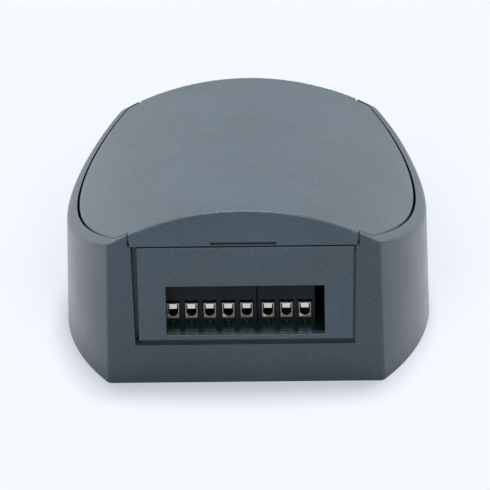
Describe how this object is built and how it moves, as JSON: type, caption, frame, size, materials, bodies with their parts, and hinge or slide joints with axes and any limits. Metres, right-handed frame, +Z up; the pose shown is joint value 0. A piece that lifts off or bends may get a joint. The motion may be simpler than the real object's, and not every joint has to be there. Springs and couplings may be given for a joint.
{
  "type": "radio receiver module",
  "caption": "Mains radio receiver module in a barrel-roofed case with a lift-off cover, a hinged wiring plate and rising-cage screw terminals.",
  "frame": {"origin": "middle of the flat underside", "axes": "+X to the right, +Y to the rear, +Z up; the wiring window faces -Y"},
  "size_m": [0.103, 0.098, 0.0514],
  "materials": {
    "case_plastic": "fine moulded texture, dark slate grey",
    "terminal_plastic": "dark grey moulding",
    "bright_nickel": "bright nickel plate",
    "zinc_steel": "zinc plated steel",
    "board_laminate": "green solder resist",
    "relay_case": "black case",
    "potting_case": "black potted case",
    "fuse_glass": "clear glass",
    "varistor_coating": "blue epoxy dip",
    "film_capacitor_case": "yellow case",
    "chip_epoxy": "black epoxy",
    "can_sleeve": "dark sleeve",
    "crystal_can": "tinned can",
    "tinned_sheet": "tinned sheet",
    "wire_insulation": "white insulation",
    "clip_plastic": "natural nylon",
    "button_plastic": "black",
    "lamp_resin": "red resin",
    "resistor_coating": "pale blue lacquer",
    "ceramic_coating": "ochre dip"
  },
  "bodies": {
    "base": {"base_shell": "case_plastic", "circuit_board": "board_laminate", "board_screws": "zinc_steel", "terminal_block_5way": "terminal_plastic", "terminal_block_3way": "terminal_plastic", "terminal_contacts": "bright_nickel", "relay_1": "relay_case", "relay_2": "relay_case", "mains_transformer": "potting_case", "fuse_tube": "fuse_glass", "fuse_caps": "bright_nickel", "fuse_clips": "bright_nickel", "varistor": "varistor_coating", "suppression_capacitor": "film_capacitor_case", "bridge_rectifier": "chip_epoxy", "smoothing_capacitors": "can_sleeve", "voltage_regulator": "chip_epoxy", "microcontroller": "chip_epoxy", "crystal": "crystal_can", "radio_board": "board_laminate", "radio_header": "terminal_plastic", "radio_chip": "chip_epoxy", "radio_shield_can": "tinned_sheet", "antenna_wire": "wire_insulation", "antenna_clips": "clip_plastic", "button_housings": "terminal_plastic", "button_domes": "tinned_sheet", "status_leds": "lamp_resin", "relay_transistors": "chip_epoxy", "resistors": "resistor_coating", "diodes": "chip_epoxy", "ceramic_capacitors": "ceramic_coating"},
    "top_cover": {"top_cover": "case_plastic"},
    "cover_plate": {"terminal_cover_plate": "case_plastic"},
    "clamp_screw_1": {"clamp_screw_1": "zinc_steel"},
    "clamp_cage_1": {"clamp_cage_1": "bright_nickel"},
    "clamp_screw_2": {"clamp_screw_2": "zinc_steel"},
    "clamp_cage_2": {"clamp_cage_2": "bright_nickel"},
    "clamp_screw_3": {"clamp_screw_3": "zinc_steel"},
    "clamp_cage_3": {"clamp_cage_3": "bright_nickel"},
    "clamp_screw_4": {"clamp_screw_4": "zinc_steel"},
    "clamp_cage_4": {"clamp_cage_4": "bright_nickel"},
    "clamp_screw_5": {"clamp_screw_5": "zinc_steel"},
    "clamp_cage_5": {"clamp_cage_5": "bright_nickel"},
    "clamp_screw_6": {"clamp_screw_6": "zinc_steel"},
    "clamp_cage_6": {"clamp_cage_6": "bright_nickel"},
    "clamp_screw_7": {"clamp_screw_7": "zinc_steel"},
    "clamp_cage_7": {"clamp_cage_7": "bright_nickel"},
    "clamp_screw_8": {"clamp_screw_8": "zinc_steel"},
    "clamp_cage_8": {"clamp_cage_8": "bright_nickel"},
    "learn_button_1": {"learn_button_1": "button_plastic"},
    "learn_button_2": {"learn_button_2": "button_plastic"}
  },
  "joints": [
    {"name": "cover_lift", "type": "slide", "parent": "base", "child": "top_cover", "axis": [0, 0, 1], "range_m": [0, 0.035]},
    {"name": "plate_swing", "type": "hinge", "parent": "base", "child": "cover_plate", "pos_m": [0, -0.04805, 0.01208], "axis": [1, 0, 0], "range_deg": [0, 45]},
    {"name": "clamp_screw_1_turn", "type": "hinge", "parent": "base", "child": "clamp_screw_1", "pos_m": [-0.01993, -0.0383, 0.02625], "axis": [0, 0, -1], "range_deg": [0, 1260]},
    {"name": "clamp_cage_1_rise", "type": "slide", "parent": "base", "child": "clamp_cage_1", "axis": [0, 0, 1], "range_m": [0, 0.00175]},
    {"name": "clamp_screw_2_turn", "type": "hinge", "parent": "base", "child": "clamp_screw_2", "pos_m": [-0.01485, -0.0383, 0.02625], "axis": [0, 0, -1], "range_deg": [0, 1260]},
    {"name": "clamp_cage_2_rise", "type": "slide", "parent": "base", "child": "clamp_cage_2", "axis": [0, 0, 1], "range_m": [0, 0.00175]},
    {"name": "clamp_screw_3_turn", "type": "hinge", "parent": "base", "child": "clamp_screw_3", "pos_m": [-0.00977, -0.0383, 0.02625], "axis": [0, 0, -1], "range_deg": [0, 1260]},
    {"name": "clamp_cage_3_rise", "type": "slide", "parent": "base", "child": "clamp_cage_3", "axis": [0, 0, 1], "range_m": [0, 0.00175]},
    {"name": "clamp_screw_4_turn", "type": "hinge", "parent": "base", "child": "clamp_screw_4", "pos_m": [-0.00469, -0.0383, 0.02625], "axis": [0, 0, -1], "range_deg": [0, 1260]},
    {"name": "clamp_cage_4_rise", "type": "slide", "parent": "base", "child": "clamp_cage_4", "axis": [0, 0, 1], "range_m": [0, 0.00175]},
    {"name": "clamp_screw_5_turn", "type": "hinge", "parent": "base", "child": "clamp_screw_5", "pos_m": [0.00039, -0.0383, 0.02625], "axis": [0, 0, -1], "range_deg": [0, 1260]},
    {"name": "clamp_cage_5_rise", "type": "slide", "parent": "base", "child": "clamp_cage_5", "axis": [0, 0, 1], "range_m": [0, 0.00175]},
    {"name": "clamp_screw_6_turn", "type": "hinge", "parent": "base", "child": "clamp_screw_6", "pos_m": [0.00627, -0.0383, 0.02625], "axis": [0, 0, -1], "range_deg": [0, 1260]},
    {"name": "clamp_cage_6_rise", "type": "slide", "parent": "base", "child": "clamp_cage_6", "axis": [0, 0, 1], "range_m": [0, 0.00175]},
    {"name": "clamp_screw_7_turn", "type": "hinge", "parent": "base", "child": "clamp_screw_7", "pos_m": [0.01135, -0.0383, 0.02625], "axis": [0, 0, -1], "range_deg": [0, 1260]},
    {"name": "clamp_cage_7_rise", "type": "slide", "parent": "base", "child": "clamp_cage_7", "axis": [0, 0, 1], "range_m": [0, 0.00175]},
    {"name": "clamp_screw_8_turn", "type": "hinge", "parent": "base", "child": "clamp_screw_8", "pos_m": [0.01643, -0.0383, 0.02625], "axis": [0, 0, -1], "range_deg": [0, 1260]},
    {"name": "clamp_cage_8_rise", "type": "slide", "parent": "base", "child": "clamp_cage_8", "axis": [0, 0, 1], "range_m": [0, 0.00175]},
    {"name": "learn_button_1_press", "type": "slide", "parent": "base", "child": "learn_button_1", "axis": [0, 0, -1], "range_m": [0, 0.0003], "stiffness_N_per_m": 600},
    {"name": "learn_button_2_press", "type": "slide", "parent": "base", "child": "learn_button_2", "axis": [0, 0, -1], "range_m": [0, 0.0003], "stiffness_N_per_m": 600}
  ],
  "couplings": [
    {"joint": "clamp_screw_1_turn", "follows": "clamp_cage_1_rise", "rad_per_m": 12566},
    {"joint": "clamp_screw_2_turn", "follows": "clamp_cage_2_rise", "rad_per_m": 12566},
    {"joint": "clamp_screw_3_turn", "follows": "clamp_cage_3_rise", "rad_per_m": 12566},
    {"joint": "clamp_screw_4_turn", "follows": "clamp_cage_4_rise", "rad_per_m": 12566},
    {"joint": "clamp_screw_5_turn", "follows": "clamp_cage_5_rise", "rad_per_m": 12566},
    {"joint": "clamp_screw_6_turn", "follows": "clamp_cage_6_rise", "rad_per_m": 12566},
    {"joint": "clamp_screw_7_turn", "follows": "clamp_cage_7_rise", "rad_per_m": 12566},
    {"joint": "clamp_screw_8_turn", "follows": "clamp_cage_8_rise", "rad_per_m": 12566}
  ]
}
